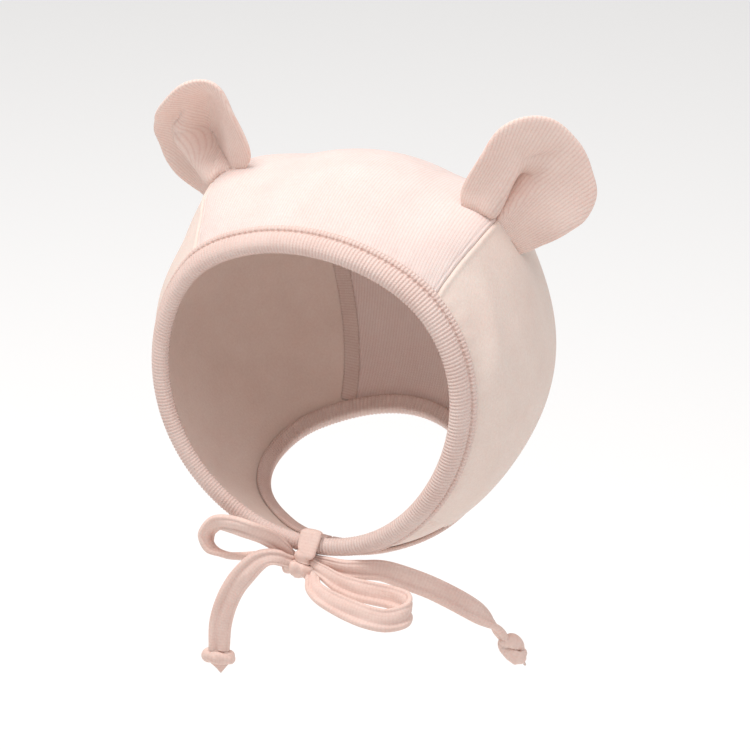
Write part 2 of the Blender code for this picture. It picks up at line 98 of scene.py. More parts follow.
# sections: share of the band from the fold, share of the wall over the layer's inner face
FACE_OUTSIDE = (
    (1.0, 0.0),
    (1.0, 0.5),
    (0.93, 0.85),
    (0.83, 0.85),
    (0.74, 0.3),
    (0.66, 1.05),
    (0.43, 1.42),
    (0.18, 1.0),
)
NECK_OUTSIDE = ((1.0, 0.0), (1.0, 0.6), (0.78, 1.0), (0.55, 1.1), (0.3, 1.05))
INSIDE = ((0.18, 0.8), (0.45, 0.85), (0.9, 0.85), (0.9, 0.0))
FOLD = ((0.045, 0.5), (0.0, 0.0), (0.045, -0.5))  # share of the band, share of the cloth and both walls
HOLLOW = 2.5  # depth of the fold's inside

EAR_LATITUDE = 42.5  # of the middle of each ear's base
EAR_DEPTH = 2.0  # base middle in front of the crown top
EAR_BACK = 17.0  # lean to the back
EAR_WALL = 3.6  # both layers together
EAR_REACH = 24.0  # middle of an ear to its rim
EAR_MIDDLE = (0.06, 0.83)  # across, up from the base, as shares of the reach
EAR_OUTLINE = (  # angle from straight up, positive outward, share of the reach
    (-142, 1.01),
    (-102, 0.97),
    (-75, 1.02),
    (-39, 0.98),
    (0, 0.85),
    (31, 0.82),
    (61, 0.89),
    (82, 0.88),
    (102, 0.84),
    (122, 0.88),
    (146, 1.00),
)
# name, side, lean outward, turn outward, then as shares of the reach: the radius of the curl across,
# the start and the radius of the curl up
EARS = (
    ("ear_left", 1, 35.0, 20.0, 2.9, 0.67, 3.75),
    ("ear_right", -1, 11.5, 18.0, 2.1, 0.42, 0.82),
)

# top of the face binding at the chin, over the plain round
CHIN_LIFT = SOFT_RISE + BAND_CLEAR + 1.42 * BAND_WALL
KNOT_SEAT = 4.9  # the bow knot's middle over the binding
KNOT_POLAR = 54.0
KNOT_AXIS = np.array((0.0, -np.cos(np.radians(KNOT_POLAR)), -np.sin(np.radians(KNOT_POLAR))))
KNOT = CENTRE + KNOT_AXIS * (SHELL + CHIN_LIFT + KNOT_SEAT)
TIE_WIDTH = 8.0
TIE_THICK = 2.4
# place from the knot (across, back, up), direction of the strip's width, share of the tie's width
TAIL_RIGHT = (
    (-4.4, -5.1, 4.0, 0.05, -0.64, -0.77, 0.56),
    (-6.1, -7.3, 5.7, 0.05, -0.51, -0.86, 0.66),
    (-9.1, -9.3, 6.2, 0.35, -0.30, -0.89, 0.74),
    (-12.7, -10.5, 4.2, 0.68, -0.12, -0.72, 0.90),
    (-16.8, -11.7, -0.6, 0.80, 0.01, -0.60, 1.00),
    (-20.9, -12.1, -6.8, 0.87, 0.12, -0.48, 1.00),
    (-24.0, -12.7, -14.0, 0.91, 0.25, -0.32, 1.00),
    (-26.0, -13.2, -22.0, 0.93, 0.34, -0.16, 1.00),
    (-26.5, -13.6, -30.7, 0.91, 0.41, -0.07, 0.94),
)
LOOP_RIGHT = (
    (-5.0, -0.3, 3.2, -0.10, 0.22, 0.97, 0.56),
    (-7.8, -2.9, 8.0, 0.18, 0.01, 0.98, 0.69),
    (-11.0, -6.6, 12.6, 0.32, -0.04, 0.95, 0.88),
    (-16.0, -9.6, 15.5, 0.39, -0.11, 0.91, 0.94),
    (-23.0, -9.2, 15.9, 0.41, -0.24, 0.88, 0.90),
    (-29.6, -7.6, 14.0, 0.13, -0.51, 0.85, 0.92),
    (-33.3, -7.0, 9.2, -0.16, -0.78, 0.61, 1.00),
    (-32.6, -6.6, 4.1, 0.00, -0.92, 0.39, 1.00),
    (-28.5, -4.6, 0.8, 0.26, -0.82, 0.51, 1.00),
    (-23.5, -1.4, -0.6, 0.42, -0.69, 0.59, 1.00),
    (-17.8, 1.2, -0.6, 0.36, -0.59, 0.73, 0.94),
    (-11.8, 2.6, -0.6, 0.11, -0.25, 0.96, 0.75),
    (-7.8, 3.2, -1.2, -0.06, 0.13, 0.99, 0.62),
    (-5.0, 3.4, -1.8, -0.17, 0.39, 0.91, 0.56),
)
TAIL_LEFT = (
    (4.6, 1.7, 1.9, -0.10, 0.22, 0.97, 0.56),
    (9.1, 0.8, 2.2, -0.06, 0.13, 0.99, 0.69),
    (15.5, 0.1, 2.3, -0.06, 0.13, 0.99, 0.81),
    (21.5, 2.5, 2.0, -0.06, 0.13, 0.99, 0.88),
    (27.2, 5.8, 1.2, -0.17, 0.13, 0.98, 0.94),
    (34.3, 9.7, -2.1, -0.31, 0.11, 0.94, 1.00),
    (43.1, 13.8, -6.5, -0.49, 0.10, 0.87, 1.00),
    (54.0, 17.8, -13.0, -0.61, 0.13, 0.78, 1.00),
    (61.7, 20.5, -19.0, -0.79, 0.20, 0.58, 0.94),
    (65.3, 21.9, -24.1, -0.88, 0.20, 0.43, 0.81),
)
LOOP_LEFT = (
    (5.9, -2.1, 1.6, 0.31, 0.45, 0.83, 0.56),
    (9.6, -3.1, 0.7, 0.33, 0.49, 0.81, 0.68),
    (15.3, -4.7, -0.7, 0.24, 0.51, 0.82, 0.84),
    (21.8, -5.1, -1.6, 0.09, 0.49, 0.87, 0.96),
    (28.2, -4.7, -2.0, 0.02, 0.47, 0.88, 1.00),
    (34.4, -4.0, -2.4, 0.06, 0.46, 0.89, 1.00),
    (40.0, -5.2, -2.5, 0.23, 0.31, 0.92, 1.00),
    (43.3, -8.9, -3.0, 0.01, -0.11, 0.99, 1.00),
    (42.5, -13.3, -3.5, -0.36, 0.13, 0.92, 1.00),
    (38.2, -16.8, -3.9, -0.17, 0.39, 0.91, 1.00),
    (32.1, -17.7, -3.6, 0.05, 0.48, 0.87, 1.00),
    (25.1, -16.6, -3.2, 0.16, 0.52, 0.84, 0.98),
    (18.0, -14.3, -3.0, 0.22, 0.53, 0.82, 0.92),
    (12.1, -11.6, -2.9, 0.37, 0.59, 0.72, 0.84),
    (8.0, -8.9, -2.2, 0.69, 0.59, 0.42, 0.74),
    (5.9, -5.6, -1.0, 0.86, 0.50, 0.14, 0.62),
)
# degrees from the face edge; shares of the cloth and wall under the binding, of the lift over it and
# of the knot's seat; then half width and half thickness as shares of the tie's width and the seat
KNOT_COURSE = (
    (2.0, -1.0, 0.0, -0.27, 0.33, 0.15),
    (-0.7, -1.0, 0.0, -0.22, 0.45, 0.20),
    (-2.5, -0.30, 0.0, -0.20, 0.49, 0.24),
    (-2.3, 0.0, 0.8, 0.20, 0.49, 0.26),
    (-0.4, 0.0, 1.0, 0.63, 0.49, 0.37),
    (2.2, 0.0, 1.0, 0.98, 0.51, 0.59),
    (5.0, 0.0, 1.0, 1.04, 0.53, 0.65),
    (7.6, 0.0, 1.0, 0.92, 0.48, 0.57),
    (9.6, 0.0, 1.0, 0.78, 0.30, 0.33),
)
# name, tail, half width, half depth and half length as shares of the tie's width, then 3 where the
# strand rolls across the tie and 2 where it crosses itself in two lobes
END_KNOTS = (
    ("tail_knot_right", TAIL_RIGHT, (0.75, 0.45, 0.45), 3),
    ("tail_knot_left", TAIL_LEFT, (0.62, 0.50, 0.75), 2),
)
# soft folds, all on the cheeks: ring angle, its span, polar angle there, its change per degree of ring,
# width, rise
FOLDS = (
    (72, 24, 67.0, -0.42, 4.2, 0.75),
    (76, 24, 61.5, -0.30, 3.6, -0.45),
    (70, 9, 96.0, -0.27, 5.0, -0.45),
    (-70, 26, 68.0, 0.35, 5.0, 0.55),
    (-84, 20, 96.0, 0.20, 6.0, -0.40),
)
# gathers beside the bindings: how far past them they are strongest, then how far they fade from there,
# the edge's radius as a share of the shell, the size of a gather and its height
PUCKER_START = 1.5
FACE_PUCKERS = (4.5, 0.8, 0.95, 0.08)
NECK_PUCKERS = (6.0, 0.7, 1.1, 0.25)
SEAM_CLOSED = 0.02  # half of what is left between two panels that are sewn together
# what a seam does to the cloth beside it: distance from the seam, width, height
CROWN_SEAM = ((0.0, 0.40, -0.55), (1.5, 0.25, -0.30))  # rolled down, and its line of stitches
CHEEK_SEAM = ((0.0, 0.35, -0.55), (1.2, 0.80, 0.30))  # rolled down, and raised on the edges under it
LINING_DROP = 0.1  # the inside of a dressed panel below its solid's
CROWN_CROWDING = 0.75  # how much of a panel's grid crowds toward its seam
CHEEK_CROWDING = 0.65
ALLOWANCE = (3.0, 0.12, 2.4)  # the overlocked edges inside: half width, its waver, one overlock stitch
RIB_RELIEF = (0.34, 0.8, 0.6)  # a binding's ribs: height, roundness, level that the solid keeps
STITCH_RELIEF = (0.42, 0.75, 0.05)  # its stitches: depth, share of the band from the fold, width
STEPS_A_RIB = 5
NECK_MEAN = 36.0  # mean polar angle of the neck edge
EAR_SEAT = -0.5  # the ears' sewn edge, sunk into the seam
# the folded ridge and the hollow beside it, in each ear, as shares of its reach: which way the hollow
# lies, where the ridge starts at the base, how far it swings across and over what height, width of
# its steep flank, where the floor rises and over what width, top of the hollow and its softness,
# depth, height of the ridge, how far the hollow's top rises across
POCKETS = {
    "ear_left": (1, -0.03, -0.66, 1.9, 0.19, 0.05, 0.25, 0.53, 0.38, 0.38, 0.12, 0.9),
    "ear_right": (-1, -0.24, 0.57, 0.55, 0.18, 0.26, 0.85, 0.92, 0.40, 0.18, 1.2, 0.4),
}
# the hood over the hollow: distance over its top and width of that, distance across and width, height
HOOD_CREST = (0.15, 0.15, 0.10, 0.26, 0.8)
HOOD_DIP = (0.40, 0.18, 0.12, 0.28, 0.32)
RIM_SHIFTS = {  # where a worn rim has sagged from the pattern: angle round the ear, span, share of its reach
    "ear_left": (),
    "ear_right": ((104, 28, 0.14), (15, 38, 0.07), (-60, 28, -0.10)),
}
EAR_FAN = 1.2  # how far below the ear its ribs would meet, as a share of its reach
EAR_FREE = 0.67  # height over the base, as such a share, where the curl across is at its full
EAR_SETTLED = 0.83  # and where the base's seat on the crown no longer shows
RIM_ROLL = 9  # the higher, the tighter the roll of the rim
BASE_SHARE = 5  # one of so many spokes ends on an ear's base

INTO_KNOT = 5.0  # length of tie hidden under the knot's strap
INTO_END = 1.6  # and under the knot at a tail's end
TIE_POINTS = 48  # round a tie's section
# creases across a tie, then turns and swellings along the knot's strap: place, width, height
TIE_CREASES = ((-0.16, 0.07, -0.62), (0.34, 0.04, -0.3), (-0.34, 0.1, 0.15))
KNOT_TURN = ((0.66, 0.10, -2.3),)
KNOT_LIFT = ((0.68, 0.08, 0.6),)
KNOT_WAIST = ((0.36, 0.08, -0.10), (0.52, 0.06, -0.32), (0.67, 0.09, 0.42))
KNOT_BULGE = ((0.52, 0.06, -0.15), (0.66, 0.07, 0.18))
KNOT_SWAY = (2.0, -2.8, 0.38, 0.28)  # shift aside, its change, where along the strap and over what share
CUT_ENDS = {  # length, half width, slant
    "tail_knot_right": (5.2, 5.4, 0.4),
    "tail_knot_left": (6.4, 2.6, 0.8),
}
KNOT_CREASES = (  # share along the strap, slope across it, depth, width
    (0.43, 0.06, 0.30, 0.02),
    (0.565, 0.04, 0.50, 0.018),
    (0.69, 0.05, 0.28, 0.015),
)

RIB_PITCH = 1.15  # one rib of the binding, ridge to ridge
WALE_PITCH = 1.05  # the same fine rib on the crown and ears
COURSE_PITCH = 0.9
STITCH_PITCH = 2.0
FIBRE = 0.8  # tufts of loose fibre
WEAR = 14.0  # broad uneven patches
RIB_WANDER = 0.5  # how many ribs the broad patches push them aside
GROOVE = 2.5  # the higher, the narrower the groove between two ribs
LOOP_SLANT = 0.6  # of a course, from a rib's ridge to its groove
MEAN_TONE, MEAN_RIDGE, MEAN_NOISE = 0.6, 0.7, 0.5
SHEEN_TINT = "#FFF6F0"
# how cotton takes light: matt, a faint sheen on the loose fibre, a little glow through the yarn
COTTON = {
    "Roughness": 0.92,
    "Specular IOR Level": 0.2,
    "Sheen Weight": 0.12,
    "Sheen Roughness": 0.5,
    "Subsurface Weight": 0.15,
    "Subsurface Radius": (2.0 * MM, 1.2 * MM, 1.0 * MM),
    "Subsurface Scale": 1.0,
}
MATH = "ShaderNodeMath"

VIEW_TURN, VIEW_RISE = 24.0, 25.0  # toward the wearer's left of straight in front, and above level
VIEW_FAR = 1047.0  # from the head's middle
VIEW_AIM = (6.28, -9.08)  # right of the head's middle and above it, in the picture
FOCAL_LENGTH, SENSOR = 144.0, 36.0
FLOOR = -420.0
FLOOR_SIZE = 14.0  # metres
PAPER_GLOW = 0.08
ROOM = 0.55
LIGHTS = (  # name, place in metres, size, watts, colour
    ("key", (-0.40, -0.25, 1.35), 0.7, 15.5, "#FFFDFC"),
    ("fill", (0.65, -0.50, 1.25), 0.9, 6.0, "#FCFCFF"),
)


def smooth(x, table, column):
    """A curve without overshoot through one column of a table whose first column rises."""
    xs = np.array([row[0] for row in table], float)
    ys = np.array([row[column] for row in table], float)
    step = np.diff(xs)
    slope = np.diff(ys) / step
    lean = np.zeros(len(xs))
    both = slope[1:] * slope[:-1]
    total = np.where(both > 0, slope[1:] + slope[:-1], 1.0)
    lean[1:-1] = np.where(both > 0, 2 * both / total, 0.0)
    x = np.clip(x, xs[0], xs[-1])
    cell = np.clip(np.searchsorted(xs, x, side="right") - 1, 0, len(step) - 1)
    part = (x - xs[cell]) / step[cell]
    rest = 1 - part
    start = ys[cell] * (1 + 2 * part) * rest**2 + lean[cell] * step[cell] * part * rest**2
    end = ys[cell + 1] * (3 - 2 * part) * part**2 - lean[cell + 1] * step[cell] * rest * part**2
    return start + end


def unit(vectors):
    return vectors / np.linalg.norm(vectors, axis=-1, keepdims=True)


def blend(x):
    x = np.clip(x, 0.0, 1.0)
    return x * x * (3 - 2 * x)


def bump(distance, width):
    return np.exp(-((distance / width) ** 2))


def squared(wave, power):
    """A wave with flatter tops, which squares off a round section."""
    return np.sign(wave) * np.abs(wave) ** power


def bumps(at, rows):
    """Soft bumps added together; rows: middle, width, height."""
    return sum(height * bump(at - middle, width) for middle, width, height in rows)


def over_crown(latitude, turn):
    """Unit directions from the head's middle, by latitude from its middle plane and turn over the crown."""
    latitude, turn = np.radians(latitude), np.radians(turn)
    flat = np.cos(latitude)
    return np.stack((np.sin(latitude), -flat * np.cos(turn), flat * np.sin(turn)), axis=-1)


def from_face(polar, ring):
    """The same by polar angle from straight ahead and ring angle from the top."""
    polar, ring = np.radians(polar), np.radians(ring)
    flat = np.sin(polar)
    return np.stack((flat * np.sin(ring), -np.cos(polar), flat * np.cos(ring)), axis=-1)


def from_neck(polar, heading):
    """The same by polar angle from straight down and heading from the front."""
    polar, heading = np.radians(polar), np.radians(heading)
    flat = np.sin(polar)
    return np.stack((flat * np.sin(heading), -flat * np.cos(heading), -np.cos(polar)), axis=-1)


def face_angles(way):
    polar = np.degrees(np.arccos(np.clip(-way[..., 1], -1, 1)))
    return polar, np.degrees(np.arctan2(way[..., 0], way[..., 2]))


def neck_angles(way):
    polar = np.degrees(np.arccos(np.clip(-way[..., 2], -1, 1)))
    return polar, np.degrees(np.arctan2(way[..., 0], -way[..., 1]))


def crown_angles(way):
    latitude = np.degrees(np.arcsin(np.clip(way[..., 0], -1, 1)))
    turn = np.degrees(np.arctan2(way[..., 2], -way[..., 1]))
    return latitude, np.where(turn < -90, turn + 360, turn)


def face_edge(ring):
    mean, once, twice, thrice = FACE_EDGE
    ring = np.radians(ring)
    return mean + once * np.cos(ring) + twice * np.cos(2 * ring) + thrice * np.cos(3 * ring)


def neck_edge(heading):
    return smooth(np.abs(heading), NECK_EDGE, 1)


def shell(way):
    """Distance of the cloth's outside from the head's middle, along each unit direction."""
    latitude, turn = crown_angles(way)
    away = np.abs(latitude) - smooth(turn, SEAM, 1)
    crown = 0.5 + 0.5 * np.cos(np.pi * np.clip(-away / CROWN_REACH, 0, 1))
    side = np.clip(1 - away / SIDE_REACH, 0, 1) ** 2
    radius = SHELL + SEAM_LIFT * smooth(turn, SEAM, 2) * np.where(away < 0, crown, side)
    polar, ring = face_angles(way)
    for middle, span, height, reach, rise in SOFT:
        off = (ring - middle + 180) % 360 - 180
        radius = radius + SOFT_RISE * rise * np.exp(-((off / span) ** 2) - ((polar - height) / reach) ** 2)
    return radius


def on_shell(way, height):
    return CENTRE + way * (shell(way) + height)[..., None]


def meeting(share, low, high, edge):
    """The turn at which a line at this share of the seam's latitude meets an edge, by halving."""
    low = np.full(share.shape, float(low))
    high = np.full(share.shape, float(high))
    for _ in range(40):
        turn = (low + high) / 2
        before = edge(over_crown(share * smooth(turn, SEAM, 1), turn))
        low = np.where(before, turn, low)
        high = np.where(before, high, turn)
    return (low + high) / 2


def inside_face_edge(way):
    polar, ring = face_angles(way)
    return polar < face_edge(ring) + np.degrees((HOLLOW + EDGE_CLEAR) / SHELL)


def above_neck_edge(way):
    polar, heading = neck_angles(way)
    return polar > neck_edge(heading) + np.degrees((HOLLOW + EDGE_CLEAR) / SHELL)


def seam_line(steps, side_gap):
    """Directions down the seam, from the face edge to the neck edge, a half gap to one side of it."""
    one = np.ones(1)
    start = meeting(one, *FACE_TURNS, inside_face_edge)[0]
    end = meeting(one, *NAPE_TURNS, above_neck_edge)[0]
    turn = np.linspace(start, end, steps + 1)
    return over_crown(smooth(turn, SEAM, 1) + np.degrees(side_gap / SHELL), turn)


def to_side_map(way):
    """A flat map of the left side, in degrees from its +X point."""
    latitude, turn = crown_angles(way)
    turn = np.radians(turn)
    return (90 - latitude)[..., None] * np.stack((np.cos(turn), np.sin(turn)), axis=-1)


def from_side_map(flat):
    turn = np.degrees(np.arctan2(flat[..., 1], flat[..., 0]))
    return over_crown(90 - np.hypot(flat[..., 0], flat[..., 1]), turn)


def folded_section(band, outside):
    """Distance from the fold and height over the cloth, round a strip folded over a panel's edge."""
    top, bottom, middle = BAND_CLEAR, -CLOTH - BAND_CLEAR, -CLOTH / 2
    stack = CLOTH + 2 * BAND_CLEAR + 2 * BAND_WALL
    rows = [(band * along, top + BAND_WALL * over) for along, over in outside]
    rows += [(band * along, middle + stack / 2 * over) for along, over in FOLD]
    rows += [(band * along, bottom - BAND_WALL * under) for along, under in INSIDE]
    return rows + [(HOLLOW, bottom), (0.8 * HOLLOW, middle), (HOLLOW, top)]


def between(a, b, c, d, u):
    """A smooth step from b to c, with a before them and d after."""
    return 0.5 * (2 * b + (c - a) * u + (2 * a - 5 * b + 4 * c - d) * u**2 + (3 * b - a - 3 * c + d) * u**3)


def course(rows, steps):
    """A smooth line of every column through the rows of a table."""
    rows = np.array(rows, float)
    padded = np.concatenate(([2 * rows[0] - rows[1]], rows, [2 * rows[-1] - rows[-2]]))
    at = np.linspace(0, len(rows) - 1, steps + 1)
    cell = np.clip(at.astype(int), 0, len(rows) - 2)
    return between(*(padded[cell + k] for k in range(4)), (at - cell)[:, None])


def camera():
    """The photograph's view: from above and a little to the wearer's left."""
    turn, rise = np.radians((VIEW_TURN, VIEW_RISE))
    back = np.array((np.sin(turn) * np.cos(rise), -np.cos(turn) * np.cos(rise), np.sin(rise)))
    right = np.array((np.cos(turn), np.sin(turn), 0.0))
    up = np.cross(back, right)
    made = bpy.data.cameras.new("camera")
    made.lens = FOCAL_LENGTH
    made.sensor_width = SENSOR
    seen = bpy.data.objects.new("camera", made)
    seen.location = Vector((CENTRE + VIEW_FAR * back) * MM)
    aim = Vector((CENTRE + VIEW_AIM[0] * right + VIEW_AIM[1] * up) * MM)
    seen.rotation_euler = (aim - seen.location).to_track_quat("-Z", "Y").to_euler()
    bpy.context.collection.objects.link(seen)
    bpy.context.scene.camera = seen


def linear(code):
    """sRGB hex to linear colour."""
    parts = [int(code[i : i + 2], 16) / 255 for i in (1, 3, 5)]
    return tuple(p / 12.92 if p <= 0.04045 else ((p + 0.055) / 1.055) ** 2.4 for p in parts) + (1.0,)


def add_node(tree, kind, inputs=(), **settings):
    """One node with its settings; each input takes a plain value or another node's output."""
    made = tree.nodes.new(kind)
    for key, value in settings.items():
        setattr(made, key, value)
    for socket, value in dict(inputs).items():
        if isinstance(value, bpy.types.NodeSocket):
            tree.links.new(value, made.inputs[socket])
        else:
            made.inputs[socket].default_value = value
    return made


def cotton(name, light, deep, wale, depths, tones):
    """Cotton knit: ribs along the second UV direction, slanted loops along them, loose fibre over all.

    depths are the heights of rib, loop and fibre in millimetres; tones are how much painted shade
    in the grooves between ribs, the fibre and broad wear change the colour.
    """
    made = bpy.data.materials.new(name)
    made.use_nodes = True
    tree = made.node_tree
    shader = tree.nodes["Principled BSDF"]
    rib_depth, loop_depth, fibre_depth = depths
    groove_shade, fibre_tone, wear_tone = tones
    cloth = add_node(tree, "ShaderNodeUVMap", uv_map="cloth")
    axes = add_node(tree, "ShaderNodeSeparateXYZ", {0: cloth.outputs[0]})
    place = add_node(tree, "ShaderNodeTexCoord").outputs["Object"]
    wear = add_node(tree, "ShaderNodeTexNoise", {"Vector": place, "Scale": 1 / (WEAR * MM), "Detail": 3.0})
    fibre = add_node(tree, "ShaderNodeTexNoise", {"Vector": place, "Scale": 1 / (FIBRE * MM), "Detail": 4.0})
    wales = add_node(tree, MATH, {0: axes.outputs[0], 1: wale}, operation="DIVIDE")
    wander = add_node(
        tree, MATH, {0: wear.outputs[0], 1: RIB_WANDER, 2: wales.outputs[0]}, operation="MULTIPLY_ADD"
    )
    half = add_node(tree, MATH, {0: wander.outputs[0], 1: 0.5}, operation="PINGPONG")
    groove = add_node(tree, MATH, {0: half.outputs[0], 1: 2.0}, operation="MULTIPLY")
    narrow = add_node(tree, MATH, {0: groove.outputs[0], 1: GROOVE}, operation="POWER")
    ridge = add_node(tree, MATH, {0: 1.0, 1: narrow.outputs[0]}, operation="SUBTRACT")
    slope, turns = LOOP_SLANT * COURSE_PITCH, 2 * np.pi / COURSE_PITCH
    slant = add_node(
        tree, MATH, {0: groove.outputs[0], 1: slope, 2: axes.outputs[1]}, operation="MULTIPLY_ADD"
    )
    wave = add_node(tree, MATH, {0: slant.outputs[0], 1: turns}, operation="MULTIPLY")
    loop = add_node(tree, MATH, {0: wave.outputs[0]}, operation="SINE")
    pile = add_node(tree, MATH, {0: fibre.outputs[0], 1: fibre_depth}, operation="MULTIPLY")
    loops = add_node(
        tree, MATH, {0: loop.outputs[0], 1: loop_depth, 2: pile.outputs[0]}, operation="MULTIPLY_ADD"
    )
    height = add_node(
        tree, MATH, {0: ridge.outputs[0], 1: rib_depth, 2: loops.outputs[0]}, operation="MULTIPLY_ADD"
    )
    relief = add_node(tree, "ShaderNodeBump", {"Strength": 1.0, "Distance": MM, "Height": height.outputs[0]})
    tree.links.new(relief.outputs[0], shader.inputs["Normal"])
    # the colour runs from deep to light: deep in the grooves between ribs is painted shade, and the fibre and
    # broad wear add random tone
    start = MEAN_TONE - MEAN_RIDGE * groove_shade - MEAN_NOISE * (fibre_tone + wear_tone)
    worn = add_node(tree, MATH, {0: wear.outputs[0], 1: wear_tone, 2: start}, operation="MULTIPLY_ADD")
    furry = add_node(
        tree, MATH, {0: fibre.outputs[0], 1: fibre_tone, 2: worn.outputs[0]}, operation="MULTIPLY_ADD"
    )
    tone = add_node(
        tree, MATH, {0: ridge.outputs[0], 1: groove_shade, 2: furry.outputs[0]}, operation="MULTIPLY_ADD"
    )
    shades = {0: tone.outputs[0], 6: linear(deep), 7: linear(light)}
    colour = add_node(tree, "ShaderNodeMix", shades, data_type="RGBA", clamp_factor=True)
    tree.links.new(colour.outputs[2], shader.inputs["Base Color"])
    for socket, value in COTTON.items():
        shader.inputs[socket].default_value = value
    shader.inputs["Sheen Tint"].default_value = linear(SHEEN_TINT)
    return made


def add_cloth(name, near, far, across, along, material, closed=False):
    """A closed wall between two grids of points or, closed, one grid rolled up and capped.

    across and along are millimetres of cloth at each point, for the knit's pattern.
    """
    rows, columns = near.shape[:2]
    body = bmesh.new()
    bmesh.ops.create_grid(body, x_segments=columns - 1, y_segments=rows - 1, size=0.5)
    if far is not None:
        grown = bmesh.ops.extrude_face_region(body, geom=body.faces[:])["geom"]
        fresh = [item for item in grown if isinstance(item, bmesh.types.BMVert)]
        bmesh.ops.translate(body, verts=fresh, vec=(0.0, 0.0, -1.0))
    mesh = bpy.data.meshes.new(name)
    body.to_mesh(mesh)
    body.free()
    shares = np.empty(len(mesh.vertices) * 3, np.float32)
    mesh.vertices.foreach_get("co", shares)
    shares = shares.reshape(-1, 3)
    column = np.rint((shares[:, 0] + 0.5) * (columns - 1)).astype(int)
    row = np.rint((shares[:, 1] + 0.5) * (rows - 1)).astype(int)
    points = near[row, column]
    if far is not None:
        points = np.where(shares[:, 2:] < -0.5, far[row, column], points)
    mesh.vertices.foreach_set("co", (points * MM).astype(np.float32).ravel())
    corner = np.empty(len(mesh.loops), np.int32)
    mesh.loops.foreach_get("vertex_index", corner)
    pattern = np.stack((across[row, column], along[row, column]), axis=1)[corner]
    mesh.uv_layers.new(name="cloth").data.foreach_set("uv", pattern.astype(np.float32).ravel())
    body = bmesh.new()
    body.from_mesh(mesh)
    bmesh.ops.remove_doubles(body, verts=body.verts, dist=1e-7)
    if closed:
        bmesh.ops.holes_fill(body, edges=[edge for edge in body.edges if edge.is_boundary], sides=0)
    bmesh.ops.recalc_face_normals(body, faces=body.faces)
    for face in body.faces:
        face.smooth = True
    body.to_mesh(mesh)
    body.free()
    mesh.materials.append(material)
    piece = bpy.data.objects.new(name, mesh)
    bpy.context.collection.objects.link(piece)
    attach(piece, "root")
    return piece


def tube(name, rings, across, along, material):
    """A closed body through rings of points; the first point of each ring is repeated at its end."""
    rings = np.concatenate((rings, rings[:, :1]), axis=1)
    return add_cloth(name, rings, None, across, along, material, closed=True)


def arc(points):
    """Millimetres along a grid's first direction, from its first row."""
    steps = np.linalg.norm(np.diff(points, axis=0), axis=-1)
    return np.concatenate((np.zeros((1,) + steps.shape[1:]), np.cumsum(steps, axis=0)))


def folds(way):
    """Soft folds that the worn cloth keeps, added to the solids' own shape."""
    polar, ring = face_angles(way)
    lift = 0.0 * polar
    for middle, span, start, slope, width, rise in FOLDS:
        off = (ring - middle + 180) % 360 - 180
        lift = lift + rise * bump(off, span) * bump(polar - start - slope * off, width)
    return lift


def puckers(way):
    """Small gathers that the sewn bindings pull into the panels beside them."""
    heading = neck_angles(way)[1]
    gathers = []
    for past, angle, (fade, radius, size, height) in (
        (beside_face(way) - FACE_BAND, face_angles(way)[1], FACE_PUCKERS),
        (beside_neck(way) - NECK_BAND, heading, NECK_PUCKERS),
    ):
        near = blend(past / PUCKER_START) * bump(np.clip(past - PUCKER_START, 0, None), fade)
        gathers.append(height * near * np.sin(np.radians(angle) * SHELL * radius / size))
    return gathers[0] + gathers[1] * blend((np.abs(np.radians(heading)) - 0.8) / 0.5)


def crown_panel(columns, rows):
    """The ribbed middle panel, its long edges rolled down into the seams, with stitches beside them."""
    part = np.linspace(-1, 1, columns + 1)
    share = part + CROWN_CROWDING * (np.sin(np.pi / 2 * part) - part)
    start = meeting(share, *FACE_TURNS, inside_face_edge)
    end = meeting(share, *NAPE_TURNS, above_neck_edge)
    turn = start + (end - start) * np.linspace(0, 1, rows + 1)[:, None]
    seam = smooth(turn, SEAM, 1) - np.degrees(SEAM_CLOSED / SHELL)
    way = over_crown(share * seam, turn)
    beside = np.radians(seam * (1 - np.abs(share))) * SHELL
    rise = folds(way) + puckers(way) + bumps(beside, CROWN_SEAM)
    hidden = blend(hide(way))
    across = np.radians(share * seam) * SHELL
    along = np.radians(turn + 0 * share) * SHELL
    outer, inner = on_shell(way, rise * hidden), on_shell(way, -CLOTH - LINING_DROP * hidden)
    return add_cloth("crown", outer, inner, across, along, RIBBED)


def beside_face(way):
    """Millimetres from the face edge."""
    polar, ring = face_angles(way)
    return np.radians(polar - face_edge(ring)) * SHELL


def beside_neck(way):
    """Millimetres from the neck edge."""
    polar, heading = neck_angles(way)
    return np.radians(polar - neck_edge(heading)) * SHELL


def hide(way):
    """0 where a panel lies inside its binding, 1 from just past the binding on."""
    return np.minimum(beside_face(way) - FACE_BAND, beside_neck(way) - NECK_BAND) / 1.2 + 1.0


